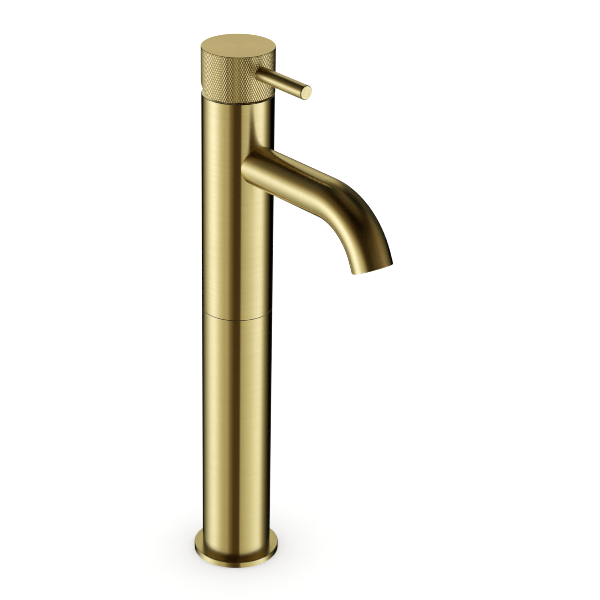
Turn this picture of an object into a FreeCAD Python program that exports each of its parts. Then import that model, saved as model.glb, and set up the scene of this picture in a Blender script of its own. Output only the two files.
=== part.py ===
import FreeCAD, Part
import os
import Sketcher
from FreeCAD import Placement, Rotation, Vector

# Tall single-lever basin mixer with a ceramic-disc cartridge.
# Frame: the origin is the centre of the base flange's underside, on the deck. +Z is up, the
# spout and the lever point along -Y, hot is on the user's left (-X) and cold on the right (+X).

doc = FreeCAD.newDocument("BasinMixer")

# ---------------------------------------------------------------- driving dimensions (mm, deg)
DIMENSIONS = (
    ("ColumnRadius", 22.5, "outside of both column tubes"),
    ("ColumnBore", 20.0, "inside of both column tubes"),
    ("SeamHeight", 179.3, "joint between the two tubes"),
    ("RimHeight", 323.2, "open top of the column"),
    ("EdgeBreak", 0.3, "small chamfer on visible edges"),
    ("FitGap", 0.05, "radial gap of fixed fits"),
    ("FlangeRadius", 28.0, "base flange outside"),
    ("FlangeBore", 17.5, "base flange opening"),
    ("FlangeThickness", 4.0, "base flange plate"),
    ("FlangeEdge", 0.5, "rounding of the flange's top edge"),
    ("SpigotHeight", 3.0, "flange spigot inside the column"),
    ("GasketInner", 19.5, "base gasket inside radius"),
    ("GasketOuter", 24.5, "base gasket outside radius"),
    ("GasketDepth", 1.0, "base gasket thickness"),
    ("InsertThickness", 12.0, "plug in the column's foot"),
    ("FixingRadius", 3.4, "M8 thread, tapping radius"),
    ("FixingOffset", 13.0, "M8 hole from the column's axis"),
    ("HoseHoleRadius", 6.5, "hose passage in the plug"),
    ("PortOffsetX", 8.0, "hot and cold ways from the axis"),
    ("PortOffsetY", 1.5, "hot and cold ways behind the axis"),
    ("CouplerBore", 17.0, "coupler inside radius"),
    ("CouplerHalf", 12.0, "coupler reach either side of the seam"),
    ("RingPitch", 6.5, "coupler O-rings from the seam"),
    ("RingSection", 0.75, "coupler O-ring section radius"),
    ("ManifoldBottom", 255.0, "underside of the water block"),
    ("SeatHeight", 292.0, "cartridge seat"),
    ("CupTop", 319.0, "top of the block's cartridge cup"),
    ("CupBore", 17.6, "cartridge cup radius"),
    ("ThreadBore", 18.5, "retaining-nut thread radius"),
    ("ThreadDepth", 7.0, "retaining-nut thread length"),
    ("InletRadius", 4.5, "M10 x 1 inlet, tapping radius"),
    ("InletDepth", 12.0, "M10 x 1 inlet thread length"),
    ("PortRadius", 2.6, "hot and cold ways"),
    ("OutletOffset", 6.5, "mixed-water port ahead of the axis"),
    ("OutletRadius", 3.0, "mixed-water port"),
    ("PegOffsetX", 8.0, "locating pegs from the axis"),
    ("PegOffsetY", 11.0, "locating pegs behind the axis"),
    ("PegRadius", 1.9, "locating pegs"),
    ("PegLength", 3.0, "locating pegs"),
    ("SpoutHeight", 281.5, "spout centreline at the column"),
    ("SpoutRadius", 12.5, "spout tube outside"),
    ("SpoutBore", 11.0, "spout tube inside"),
    ("SpoutStraight", 85.0, "axis to the start of the bend"),
    ("SpoutBendRadius", 42.0, "centreline bend"),
    ("SpoutBendAngle", 66.0, "turn of the bend, degrees"),
    ("SpoutEnd", 7.0, "straight end after the bend"),
    ("SpoutEdge", 0.4, "rounding of the spout's mouth"),
    ("NippleBore", 7.0, "nipple water way"),
    ("NippleThread", 8.95, "nipple radius in block and column"),
    ("NippleStart", 14.0, "nipple's inner end from the axis"),
    ("NippleStep", 23.5, "nipple step outside the column"),
    ("NippleEnd", 45.0, "nipple's outer end"),
    ("NippleRing", 35.0, "nipple O-ring from the axis"),
    ("ChamberEnd", 3.0, "end of the outlet chamber from the axis"),
    ("AeratorRecess", 0.8, "aerator set back from the mouth"),
    ("AeratorLength", 6.0, "aerator housing"),
    ("AeratorBore", 9.1, "aerator housing bore"),
    ("AeratorLip", 8.0, "opening in the aerator's face"),
    ("AeratorLayer", 0.8, "aerator lip and screen"),
    ("RegulatorHeight", 2.4, "flow regulator"),
    ("BaseHeight", 5.0, "cartridge base"),
    ("BaseRadius", 17.35, "cartridge base"),
    ("SealDepth", 1.2, "port seals"),
    ("SealWidth", 1.4, "port seal ring width"),
    ("DiscThickness", 3.0, "each ceramic disc"),
    ("FixedDiscRadius", 15.3, "fixed ceramic disc"),
    ("MovingDiscRadius", 12.5, "moving ceramic disc"),
    ("DiscGap", 0.05, "water film between the discs"),
    ("DiscStart", 2.3, "moving disc behind the axis when shut"),
    ("HousingRadius", 17.45, "cartridge housing"),
    ("HousingBore", 15.5, "cartridge housing cavity"),
    ("ShoulderUnder", 311.7, "underside of the housing's shoulder"),
    ("ShoulderTop", 314.0, "top of the housing's shoulder"),
    ("NeckRadius", 12.0, "housing neck"),
    ("NeckBore", 10.08, "housing neck bore"),
    ("NeckTop", 319.0, "top of the housing's neck"),
    ("NutBore", 12.2, "retaining nut opening"),
    ("NutTop", 321.0, "top of the retaining nut"),
    ("NutFlange", 19.7, "retaining nut flange"),
    ("NutSlot", 4.0, "retaining nut slots"),
    ("CollarFlange", 15.2, "collar flange"),
    ("CollarUnder", 309.3, "underside of the collar"),
    ("CollarStep", 311.4, "top of the collar's flange"),
    ("CollarNeck", 10.0, "collar neck"),
    ("CollarTop", 320.5, "top of the collar"),
    ("StemRingHeight", 313.2, "stem O-ring"),
    ("StemRingSection", 0.5, "stem O-ring section radius"),
    ("SlotHalfX", 4.5, "collar slot across"),
    ("SlotHalfY", 6.8, "collar slot along"),
    ("PivotHeight", 317.0, "lift pivot"),
    ("PinRadius", 1.5, "pivot pin"),
    ("PinHalf", 9.4, "half the pin's length"),
    ("PinClearance", 0.05, "running gap of the pin"),
    ("BallHeight", 306.5, "spindle's ball centre"),
    ("BallRadius", 2.8, "spindle's ball"),
    ("SocketRadius", 3.15, "ball socket in the carrier"),
    ("SocketFloor", 303.5, "bottom of the ball socket"),
    ("CarrierTop", 308.5, "top of the disc carrier"),
    ("CarrierRadius", 12.3, "disc carrier"),
    ("StemRadius", 1.9, "spindle between ball and barrel"),
    ("BarrelRadius", 4.2, "spindle barrel"),
    ("BarrelBottom", 313.0, "underside of the barrel"),
    ("SquareHalf", 3.75, "half the spindle's square"),
    ("SpindleTop", 344.0, "top of the spindle"),
    ("KnobRadius", 22.75, "knob over the knurl"),
    ("KnobBottom", 324.4, "underside of the knob"),
    ("KnobTop", 353.1, "flat top of the knob"),
    ("KnobWall", 19.8, "knob's inside radius"),
    ("KnobCavityTop", 346.6, "knob's inside height"),
    ("ReliefAngle", 25.0, "slant of the rear underside, degrees"),
    ("BossRadius", 11.5, "boss inside the knob"),
    ("BossBottom", 333.0, "underside of the boss"),
    ("InsertRadius", 8.0, "square-socket bush"),
    ("InsertBottom", 329.0, "underside of the bush"),
    ("InsertTop", 345.0, "top of the bush"),
    ("LeverHeight", 341.1, "lever centreline"),
    ("LeverRadius", 4.5, "lever rod"),
    ("LeverShoulder", 21.2, "lever's seat in the knob"),
    ("LeverReach", 64.0, "lever's end from the axis"),
    ("LeverTail", 3.0, "lever's threaded tail, radius"),
    ("LeverChamfer", 0.5, "lever's end chamfer"),
    ("ScrewRadius", 2.5, "M5 grub screw"),
    ("ScrewLength", 8.0, "grub screw"),
    ("KeyHalf", 1.25, "half the grub screw's key size"),
)

sheet = doc.addObject("Spreadsheet::Sheet", "dims")
for row, (alias, value, meaning) in enumerate(DIMENSIONS, start=1):
    sheet.set(f"A{row}", alias)
    sheet.set(f"B{row}", str(value))
    sheet.set(f"C{row}", meaning)
    sheet.setAlias(f"B{row}", alias)
doc.recompute()

# Places that follow from the driving dimensions
CENTRE = "0"
SPIGOT_TOP = "dims.FlangeThickness + dims.SpigotHeight"
PLUG_RADIUS = "dims.ColumnBore - dims.FitGap"
DISC_BOTTOM = "dims.SeatHeight + dims.BaseHeight"
MOVING_BOTTOM = "dims.SeatHeight + dims.BaseHeight + dims.DiscThickness + dims.DiscGap"
CARRIER_BOTTOM = MOVING_BOTTOM + " + dims.DiscThickness"
OUTLET_Y = (
    "-(dims.SpoutStraight + dims.SpoutBendRadius * sin(dims.SpoutBendAngle)"
    " + dims.SpoutEnd * cos(dims.SpoutBendAngle))"
)
OUTLET_Z = (
    "dims.SpoutHeight - dims.SpoutBendRadius * (1 - cos(dims.SpoutBendAngle))"
    " - dims.SpoutEnd * sin(dims.SpoutBendAngle)"
)
CLEAR_CUT = 1.0
TOLERANCE = 1e-6
FULL_TURN = 360
TURN_TO_FRONT = Rotation(Vector(1, 0, 0), 90)
TURN_TO_SIDE = Rotation(Vector(0, 1, 0), 90)

pieces = []


# ---------------------------------------------------------------- helpers
def number(expression):
    """The value of an expression of the sheet's cells."""
    value = sheet.evalExpression(expression)
    return float(getattr(value, "Value", value))


def new_body(name):
    """An empty Body for one sub-part, whose Label names its file."""
    body = doc.addObject("PartDesign::Body", name)
    body.Label = name
    pieces.append(body)
    return body


def origin_feature(body, role):
    """One of a body's own origin planes or axes."""
    return next(item for item in body.Origin.OriginFeatures if item.Role == role)


def new_sketch(body, name, role, offset=None):
    """A sketch on one of the body's origin planes, moved along its normal by an expression."""
    sketch = body.newObject("Sketcher::SketchObject", name)
    sketch.AttachmentSupport = [(origin_feature(body, role), "")]
    sketch.MapMode = "FlatFace"
    if offset:
        sketch.setExpression("AttachmentOffset.Base.z", offset)
    return sketch


def hold_point(sketch, geometry, point, x, y):
    """Holds one point of a sketch at the place that two expressions give."""
    for kind, expression, axis in (("DistanceX", x, -2), ("DistanceY", y, -1)):
        if expression == CENTRE:
            sketch.addConstraint(Sketcher.Constraint("PointOnObject", geometry, point, axis))
        else:
            held = Sketcher.Constraint(kind, -1, 1, geometry, point, number(expression))
            index = sketch.addConstraint(held)
            sketch.setExpression(f"Constraints[{index}]", expression)


def draw_outline(sketch, corners):
    """A closed outline of straight lines through corners given as expressions."""
    points = [Vector(number(x), number(y), 0) for x, y in corners]
    first = sketch.GeometryCount
    count = len(points)
    for index in range(count):
        sketch.addGeometry(Part.LineSegment(points[index], points[(index + 1) % count]))
    for index in range(count):
        after = first + (index + 1) % count
        sketch.addConstraint(Sketcher.Constraint("Coincident", first + index, 2, after, 1))
    for index, (x, y) in enumerate(corners):
        hold_point(sketch, first + index, 1, x, y)


def draw_rectangle(sketch, low_x, low_y, high_x, high_y):
    """A rectangle between two corners given as expressions."""
    draw_outline(sketch, [(low_x, low_y), (high_x, low_y), (high_x, high_y), (low_x, high_y)])


def draw_circle(sketch, x, y, radius):
    """A circle whose centre and radius are expressions."""
    middle = Vector(number(x), number(y), 0)
    circle = Part.Circle(middle, Vector(0, 0, 1), number(radius))
    geometry = sketch.addGeometry(circle)
    hold_point(sketch, geometry, 3, x, y)
    index = sketch.addConstraint(Sketcher.Constraint("Radius", geometry, number(radius)))
    sketch.setExpression(f"Constraints[{index}]", radius)


def turned(name, corners):
    """A Body turned about its own Z axis from an outline of (radius, height) expressions."""
    body = new_body(name)
    sketch = new_sketch(body, name + "_outline", "XZ_Plane")
    draw_outline(sketch, corners)
    turning = body.newObject("PartDesign::Revolution", name + "_turning")
    turning.Profile = sketch
    turning.ReferenceAxis = (sketch, ["V_Axis"])
    turning.Angle = FULL_TURN
    doc.recompute()
    return body


def ring(name, inner, outer, bottom, top):
    """A turned ring of rectangular section."""
    return turned(name, [(inner, bottom), (outer, bottom), (outer, top), (inner, top)])


def padded(name, sketch_plane, offset, draw, length):
    """A Body padded from one sketch."""
    body = new_body(name)
    sketch = new_sketch(body, name + "_outline", sketch_plane, offset)
    draw(sketch)
    pad = body.newObject("PartDesign::Pad", name + "_pad")
    pad.Profile = sketch
    pad.setExpression("Length", length)
    doc.recompute()
    return body


def add_pad(body, sketch, length, reverse=False):
    """Adds a pad to a body."""
    pad = body.newObject("PartDesign::Pad", sketch.Name + "_pad")
    pad.Profile = sketch
    pad.Reversed = reverse
    pad.setExpression("Length", length)
    doc.recompute()
    return pad


def cut(body, sketch, depth, reverse=False):
    """Pockets a sketch to a depth and makes sure that it removed material."""
    before = body.Shape.Volume
    pocket = body.newObject("PartDesign::Pocket", sketch.Name + "_cut")
    pocket.Profile = sketch
    pocket.Reversed = reverse
    pocket.setExpression("Length", depth)
    doc.recompute()
    if body.Shape.Volume >= before:
        raise RuntimeError(f"{pocket.Name} cuts nothing")
    return pocket


def cut_symmetric(body, sketch, width):
    """Pockets a sketch by equal amounts on both sides of its plane."""
    before = body.Shape.Volume
    pocket = body.newObject("PartDesign::Pocket", sketch.Name + "_cut")
    pocket.Profile = sketch
    pocket.Midplane = True
    pocket.setExpression("Length", width)
    doc.recompute()
    if body.Shape.Volume >= before:
        raise RuntimeError(f"{pocket.Name} cuts nothing")
    return pocket


def repeat_round(body, feature, count):
    """Repeats a feature evenly about the body's Z axis."""
    pattern = body.newObject("PartDesign::PolarPattern", feature.Name + "_round")
    pattern.Originals = [feature]
    pattern.Axis = (origin_feature(body, "Z_Axis"), [""])
    pattern.Angle = FULL_TURN
    pattern.Occurrences = count
    body.Tip = pattern
    doc.recompute()


def mirror_across(body, features, role="YZ_Plane"):
    """Mirrors features across one of the body's origin planes."""
    mirrored = body.newObject("PartDesign::Mirrored", features[0].Name + "_mirrored")
    mirrored.Originals = features
    mirrored.MirrorPlane = (origin_feature(body, role), [""])
    body.Tip = mirrored
    doc.recompute()


def round_edge(body, radius, edge_radius, height):
    """Fillets the circular edge of the body's tip that has a given radius and height."""
    tip = body.Tip
    names = []
    for index, edge in enumerate(tip.Shape.Edges, start=1):
        if isinstance(edge.Curve, Part.Circle):
            miss = abs(edge.Curve.Radius - number(edge_radius))
            miss += abs(edge.Curve.Center.z - number(height))
            if miss < TOLERANCE:
                names.append(f"Edge{index}")
    fillet = body.newObject("PartDesign::Fillet", body.Name + "_rounding")
    fillet.Base = (tip, names)
    fillet.setExpression("Radius", radius)
    doc.recompute()


def o_ring(name, major, section, height):
    """A torus about the Z axis at a height."""
    torus = doc.addObject("Part::Torus", name)
    torus.Label = name
    torus.setExpression("Radius1", major)
    torus.setExpression("Radius2", section)
    torus.setExpression("Placement.Base.z", height)
    return torus


def point_to_front(piece, height):
    """Turns a piece's own +Z to the front (-Y) at a height on the column's axis."""
    piece.Placement = Placement(Vector(0, 0, number(height)), TURN_TO_FRONT)
    piece.setExpression("Placement.Base.z", height)


# ---------------------------------------------------------------- base and column
def make_base_flange():
    body = turned("base_flange", [
        ("dims.FlangeBore", CENTRE),
        ("dims.GasketInner", CENTRE),
        ("dims.GasketInner", "dims.GasketDepth"),
        ("dims.GasketOuter", "dims.GasketDepth"),
        ("dims.GasketOuter", CENTRE),
        ("dims.FlangeRadius", CENTRE),
        ("dims.FlangeRadius", "dims.FlangeThickness"),
        (PLUG_RADIUS, "dims.FlangeThickness"),
        (PLUG_RADIUS, SPIGOT_TOP),
        ("dims.FlangeBore", SPIGOT_TOP),
    ])
    round_edge(body, "dims.FlangeEdge", "dims.FlangeRadius", "dims.FlangeThickness")


def make_base_insert():
    top = SPIGOT_TOP + " + dims.InsertThickness"
    body = turned("base_insert", [
        (CENTRE, SPIGOT_TOP),
        (PLUG_RADIUS, SPIGOT_TOP),
        (PLUG_RADIUS, top),
        (CENTRE, top),
    ])
    hose = new_sketch(body, "hose_hole", "XY_Plane", top)
    draw_circle(hose, "dims.PortOffsetX", "dims.PortOffsetY", "dims.HoseHoleRadius")
    hose_cut = cut(body, hose, "dims.InsertThickness")
    mirror_across(body, [hose_cut])
    fixing = new_sketch(body, "fixing_hole", "XY_Plane", top)
    draw_circle(fixing, CENTRE, "dims.FixingOffset", "dims.FixingRadius")
    fixing_cut = cut(body, fixing, "dims.InsertThickness")
    repeat_round(body, fixing_cut, 2)


def make_lower_column():
    turned("lower_column", [
        ("dims.ColumnBore", "dims.FlangeThickness"),
        ("dims.ColumnRadius", "dims.FlangeThickness"),
        ("dims.ColumnRadius", "dims.SeamHeight - dims.EdgeBreak"),
        ("dims.ColumnRadius - dims.EdgeBreak", "dims.SeamHeight"),
        ("dims.ColumnBore", "dims.SeamHeight"),
    ])


def make_upper_column():
    body = turned("upper_column", [
        ("dims.ColumnBore", "dims.SeamHeight"),
        ("dims.ColumnRadius - dims.EdgeBreak", "dims.SeamHeight"),
        ("dims.ColumnRadius", "dims.SeamHeight + dims.EdgeBreak"),
        ("dims.ColumnRadius", "dims.RimHeight - dims.EdgeBreak"),
        ("dims.ColumnRadius - dims.EdgeBreak", "dims.RimHeight"),
        ("dims.ColumnBore + dims.EdgeBreak", "dims.RimHeight"),
        ("dims.ColumnBore", "dims.RimHeight - dims.EdgeBreak"),
    ])
    hole = new_sketch(body, "spout_hole", "XZ_Plane", "dims.ColumnRadius")
    draw_circle(hole, CENTRE, "dims.SpoutHeight", "dims.NippleThread + dims.FitGap")
    cut(body, hole, "dims.ColumnRadius")


def make_column_coupler():
    """A plain nipple with one O-ring groove each side of the seam."""
    bottom = "dims.SeamHeight - dims.CouplerHalf"
    top = "dims.SeamHeight + dims.CouplerHalf"
    groove = "dims.ColumnBore - 2 * dims.FitGap - 2 * dims.RingSection"
    corners = [("dims.CouplerBore", bottom), (PLUG_RADIUS, bottom)]
    for middle in ("dims.SeamHeight - dims.RingPitch", "dims.SeamHeight + dims.RingPitch"):
        low = middle + " - dims.RingSection"
        high = middle + " + dims.RingSection"
        corners += [(PLUG_RADIUS, low), (groove, low), (groove, high), (PLUG_RADIUS, high)]
    corners += [(PLUG_RADIUS, top), ("dims.CouplerBore", top)]
    turned("column_coupler", corners)


def make_coupler_o_rings():
    major = "dims.ColumnBore - dims.FitGap - dims.RingSection"
    rings = []
    for side, sign in (("low", "-"), ("high", "+")):
        height = f"dims.SeamHeight {sign} dims.RingPitch"
        rings.append(o_ring("coupler_ring_" + side, major, "dims.RingSection", height))
    pair = doc.addObject("Part::MultiFuse", "coupler_o_rings")
    pair.Label = "coupler_o_rings"
    pair.Shapes = rings
    pieces.append(pair)


# ---------------------------------------------------------------- water block and spout
def draw_ports(sketch):
    """The mixed-water port and both inlet ways."""
    draw_circle(sketch, CENTRE, "-dims.OutletOffset", "dims.OutletRadius")
    for sign in ("", "-"):
        draw_circle(sketch, sign + "dims.PortOffsetX", "dims.PortOffsetY", "dims.PortRadius")


def make_valve_manifold():
    thread_bottom = "dims.CupTop - dims.ThreadDepth"
    body = turned("valve_manifold", [
        (CENTRE, "dims.ManifoldBottom"),
        (PLUG_RADIUS, "dims.ManifoldBottom"),
        (PLUG_RADIUS, "dims.CupTop"),
        ("dims.ThreadBore", "dims.CupTop"),
        ("dims.ThreadBore", thread_bottom),
        ("dims.CupBore", thread_bottom),
        ("dims.CupBore", "dims.SeatHeight"),
        (CENTRE, "dims.SeatHeight"),
    ])
    inlet = new_sketch(body, "inlet_thread", "XY_Plane", "dims.ManifoldBottom")
    draw_circle(inlet, "dims.PortOffsetX", "dims.PortOffsetY", "dims.InletRadius")
    inlet_cut = cut(body, inlet, "dims.InletDepth", reverse=True)
    way = new_sketch(body, "inlet_way", "XY_Plane", "dims.SeatHeight")
    draw_circle(way, "dims.PortOffsetX", "dims.PortOffsetY", "dims.PortRadius")
    way_cut = cut(body, way, "dims.SeatHeight - dims.ManifoldBottom")
    peg = new_sketch(body, "peg_hole", "XY_Plane", "dims.SeatHeight")
    draw_circle(peg, "dims.PegOffsetX", "dims.PegOffsetY", "dims.PegRadius + dims.FitGap")
    peg_cut = cut(body, peg, "dims.PegLength + dims.FitGap")
    mirror_across(body, [inlet_cut, way_cut, peg_cut])
    outlet = new_sketch(body, "outlet_way", "XY_Plane", "dims.SeatHeight")
    draw_circle(outlet, CENTRE, "-dims.OutletOffset", "dims.OutletRadius")
    cut(body, outlet, "dims.SeatHeight - dims.SpoutHeight")
    mouth = new_sketch(body, "nipple_hole", "XZ_Plane", "dims.ColumnBore")
    draw_circle(mouth, CENTRE, "dims.SpoutHeight", "dims.NippleThread + dims.FitGap")
    cut(body, mouth, "dims.ColumnBore - dims.NippleStart + dims.FitGap")
    chamber = new_sketch(body, "outlet_chamber", "XZ_Plane", "dims.ColumnBore")
    draw_circle(chamber, CENTRE, "dims.SpoutHeight", "dims.NippleBore")
    cut(body, chamber, "dims.ColumnBore - dims.ChamberEnd")


def make_spout_tube():
    """A tube along a straight run, a bend and a short straight end, coped to the column."""
    body = new_body("spout_tube")
    section_start = "dims.ColumnRadius / 2"
    section = new_sketch(body, "spout_section", "XZ_Plane", section_start)
    draw_circle(section, CENTRE, "dims.SpoutHeight", "dims.SpoutRadius")
    draw_circle(section, CENTRE, "dims.SpoutHeight", "dims.SpoutBore")

    route = new_sketch(body, "spout_route", "YZ_Plane")
    height = number("dims.SpoutHeight")
    straight = number("dims.SpoutStraight")
    bend = number("dims.SpoutBendRadius")
    turn = FreeCAD.Units.Quantity(number("dims.SpoutBendAngle"), FreeCAD.Units.Angle)
    start_angle = FreeCAD.Units.Quantity(90, FreeCAD.Units.Angle)
    bend_start = Vector(-straight, height, 0)
    bend_centre = Vector(-straight, height - bend, 0)
    outlet = Vector(number(OUTLET_Y), number(OUTLET_Z), 0)
    run = Part.LineSegment(Vector(-number(section_start), height, 0), bend_start)
    circle = Part.Circle(bend_centre, Vector(0, 0, 1), bend)
    first = start_angle.getValueAs("rad").Value
    last = (start_angle + turn).getValueAs("rad").Value
    arc = Part.ArcOfCircle(circle, first, last)
    end = Part.LineSegment(arc.EndPoint, outlet)
    for geometry in (run, arc, end):
        route.addGeometry(geometry)
    hold_point(route, 0, 1, "-" + section_start, "dims.SpoutHeight")
    hold_point(route, 0, 2, "-dims.SpoutStraight", "dims.SpoutHeight")
    route.addConstraint(Sketcher.Constraint("Coincident", 0, 2, 1, 1))
    hold_point(route, 1, 3, "-dims.SpoutStraight", "dims.SpoutHeight - dims.SpoutBendRadius")
    route.addConstraint(Sketcher.Constraint("Tangent", 1, 2, 2, 1))
    hold_point(route, 2, 2, OUTLET_Y, OUTLET_Z)

    pipe = body.newObject("PartDesign::AdditivePipe", "spout_pipe")
    pipe.Profile = section
    pipe.Spine = (route, ["Edge1", "Edge2", "Edge3"])
    doc.recompute()

    cope = new_sketch(body, "column_cope", "XY_Plane", "dims.SpoutHeight + dims.SpoutRadius")
    draw_circle(cope, CENTRE, CENTRE, "dims.ColumnRadius")
    cut(body, cope, "2 * dims.SpoutRadius")
    round_edge(body, "dims.SpoutEdge", "dims.SpoutRadius", OUTLET_Z)


def make_spout_nipple():
    wide = "dims.SpoutBore - dims.FitGap"
    groove = "dims.SpoutBore - dims.FitGap - 2 * dims.RingSection"
    low = "dims.NippleRing - dims.RingSection"
    high = "dims.NippleRing + dims.RingSection"
    body = turned("spout_nipple", [
        ("dims.NippleBore", "dims.NippleStart"),
        ("dims.NippleThread", "dims.NippleStart"),
        ("dims.NippleThread", "dims.NippleStep"),
        (wide, "dims.NippleStep"),
        (wide, low),
        (groove, low),
        (groove, high),
        (wide, high),
        (wide, "dims.NippleEnd"),
        ("dims.NippleBore", "dims.NippleEnd"),
    ])
    point_to_front(body, "dims.SpoutHeight")


def make_spout_o_ring():
    torus = doc.addObject("Part::Torus", "spout_o_ring")
    torus.Label = "spout_o_ring"
    torus.setExpression("Radius1", "dims.SpoutBore - dims.FitGap - dims.RingSection")
    torus.setExpression("Radius2", "dims.RingSection")
    torus.Placement = Placement(Vector(0, -number("dims.NippleRing"), 0), TURN_TO_FRONT)
    torus.setExpression("Placement.Base.y", "-dims.NippleRing")
    torus.setExpression("Placement.Base.z", "dims.SpoutHeight")
    pieces.append(torus)


# ---------------------------------------------------------------- aerator, in the spout's mouth
def put_in_mouth(piece):
    """Stands a piece's own +Z up the spout's end, from the centre of the mouth."""
    tilt = number("dims.SpoutBendAngle") - 90
    mouth = Vector(0, number(OUTLET_Y), number(OUTLET_Z))
    piece.Placement = Placement(mouth, Rotation(Vector(1, 0, 0), tilt))
    piece.setExpression("Placement.Base.y", OUTLET_Y)
    piece.setExpression("Placement.Base.z", OUTLET_Z)
    piece.setExpression("Placement.Rotation.Angle", "90 - dims.SpoutBendAngle")
    piece.setExpression("Placement.Rotation.Axis.x", "-1")


def make_aerator():
    lip_top = "dims.AeratorRecess + dims.AeratorLayer"
    screen_top = lip_top + " + dims.AeratorLayer"
    regulator_top = screen_top + " + dims.RegulatorHeight"
    top = "dims.AeratorRecess + dims.AeratorLength"
    outside = "dims.SpoutBore - dims.FitGap"
    housing = turned("aerator_housing", [
        ("dims.AeratorLip", "dims.AeratorRecess"),
        (outside, "dims.AeratorRecess"),
        (outside, top),
        ("dims.AeratorBore", top),
        ("dims.AeratorBore", lip_top),
        ("dims.AeratorLip", lip_top),
    ])
    inner = "dims.AeratorBore - dims.FitGap"
    screen = turned("aerator_screen", [
        (CENTRE, lip_top), (inner, lip_top), (inner, screen_top), (CENTRE, screen_top),
    ])
    middle_hole = new_sketch(screen, "middle_hole", "XY_Plane", screen_top)
    draw_circle(middle_hole, CENTRE, CENTRE, "dims.AeratorLayer")
    cut(screen, middle_hole, "dims.AeratorLayer")
    for ring_number in (1, 2, 3):
        hole = new_sketch(screen, f"ring_{ring_number}_hole", "XY_Plane", screen_top)
        draw_circle(hole, f"{ring_number} * dims.AeratorLip / 3.4", CENTRE, "dims.AeratorLayer")
        repeat_round(screen, cut(screen, hole, "dims.AeratorLayer"), 6 * ring_number)
    regulator = turned("flow_regulator", [
        (CENTRE, screen_top), (inner, screen_top), (inner, regulator_top), (CENTRE, regulator_top),
    ])
    way = new_sketch(regulator, "water_way", "XY_Plane", regulator_top)
    draw_circle(way, "dims.AeratorLip * 0.7", CENTRE, "dims.AeratorLayer * 1.5")
    repeat_round(regulator, cut(regulator, way, "dims.RegulatorHeight"), 10)
    washer = ring("aerator_washer", "dims.AeratorLip * 0.8", inner, regulator_top, top)
    for piece in (housing, screen, regulator, washer):
        put_in_mouth(piece)


# ---------------------------------------------------------------- cartridge
def make_cartridge_base():
    body = turned("cartridge_base", [
        (CENTRE, "dims.SeatHeight"),
        ("dims.BaseRadius", "dims.SeatHeight"),
        ("dims.BaseRadius", DISC_BOTTOM),
        (CENTRE, DISC_BOTTOM),
    ])
    ports = new_sketch(body, "base_ports", "XY_Plane", DISC_BOTTOM)
    draw_ports(ports)
    cut(body, ports, "dims.BaseHeight")
    seats = new_sketch(body, "seal_seats", "XY_Plane", "dims.SeatHeight")
    for x, y, radius in PORTS:
        draw_circle(seats, x, y, radius + " + dims.SealWidth")
    cut(body, seats, "dims.SealDepth", reverse=True)
    pegs = new_sketch(body, "base_pegs", "XY_Plane", "dims.SeatHeight")
    for sign in ("", "-"):
        draw_circle(pegs, sign + "dims.PegOffsetX", "dims.PegOffsetY", "dims.PegRadius")
    add_pad(body, pegs, "dims.PegLength", reverse=True)


PORTS = (
    ("dims.PortOffsetX", "dims.PortOffsetY", "dims.PortRadius"),
    ("-dims.PortOffsetX", "dims.PortOffsetY", "dims.PortRadius"),
    (CENTRE, "-dims.OutletOffset", "dims.OutletRadius"),
)


def make_cartridge_seals():
    """Three flat rings, one round each port, made of cylinders."""
    rings = []
    for index, (x, y, radius) in enumerate(PORTS, start=1):
        pair = []
        for part_name, size in (("outside", radius + " + dims.SealWidth"), ("inside", radius)):
            cylinder = doc.addObject("Part::Cylinder", f"seal_{index}_{part_name}")
            cylinder.setExpression("Radius", size)
            cylinder.setExpression("Height", "dims.SealDepth")
            cylinder.setExpression("Placement.Base.x", x)
            cylinder.setExpression("Placement.Base.y", y)
            cylinder.setExpression("Placement.Base.z", "dims.SeatHeight")
            pair.append(cylinder)
        seal = doc.addObject("Part::Cut", f"seal_{index}")
        seal.Base = pair[0]
        seal.Tool = pair[1]
        rings.append(seal)
    seals = doc.addObject("Part::MultiFuse", "cartridge_seals")
    seals.Label = "cartridge_seals"
    seals.Shapes = rings
    pieces.append(seals)


def make_fixed_disc():
    top = DISC_BOTTOM + " + dims.DiscThickness"
    body = turned("fixed_disc", [
        (CENTRE, DISC_BOTTOM),
        ("dims.FixedDiscRadius", DISC_BOTTOM),
        ("dims.FixedDiscRadius", top),
        (CENTRE, top),
    ])
    ports = new_sketch(body, "disc_ports", "XY_Plane", top)
    draw_ports(ports)
    cut(body, ports, "dims.DiscThickness")


def make_cartridge_housing():
    turned("cartridge_housing", [
        ("dims.HousingBore", DISC_BOTTOM),
        ("dims.HousingRadius", DISC_BOTTOM),
        ("dims.HousingRadius", "dims.ShoulderTop"),
        ("dims.NeckRadius", "dims.ShoulderTop"),
        ("dims.NeckRadius", "dims.NeckTop"),
        ("dims.NeckBore", "dims.NeckTop"),
        ("dims.NeckBore", "dims.ShoulderUnder"),
        ("dims.HousingBore", "dims.ShoulderUnder"),
    ])


def make_cartridge_nut():
    thread = "dims.ThreadBore - dims.FitGap"
    body = turned("cartridge_nut", [
        ("dims.NutBore", "dims.ShoulderTop"),
        (thread, "dims.ShoulderTop"),
        (thread, "dims.CupTop"),
        ("dims.NutFlange", "dims.CupTop"),
        ("dims.NutFlange", "dims.NutTop"),
        ("dims.NutBore", "dims.NutTop"),
    ])
    slot = new_sketch(body, "key_slot", "XY_Plane", "dims.NutTop")
    draw_rectangle(slot, "dims.NutBore - 1", "-dims.NutSlot / 2", "dims.NutFlange + 1", "dims.NutSlot / 2")
    repeat_round(body, cut(body, slot, "dims.NutTop - dims.CupTop"), 4)


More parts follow.
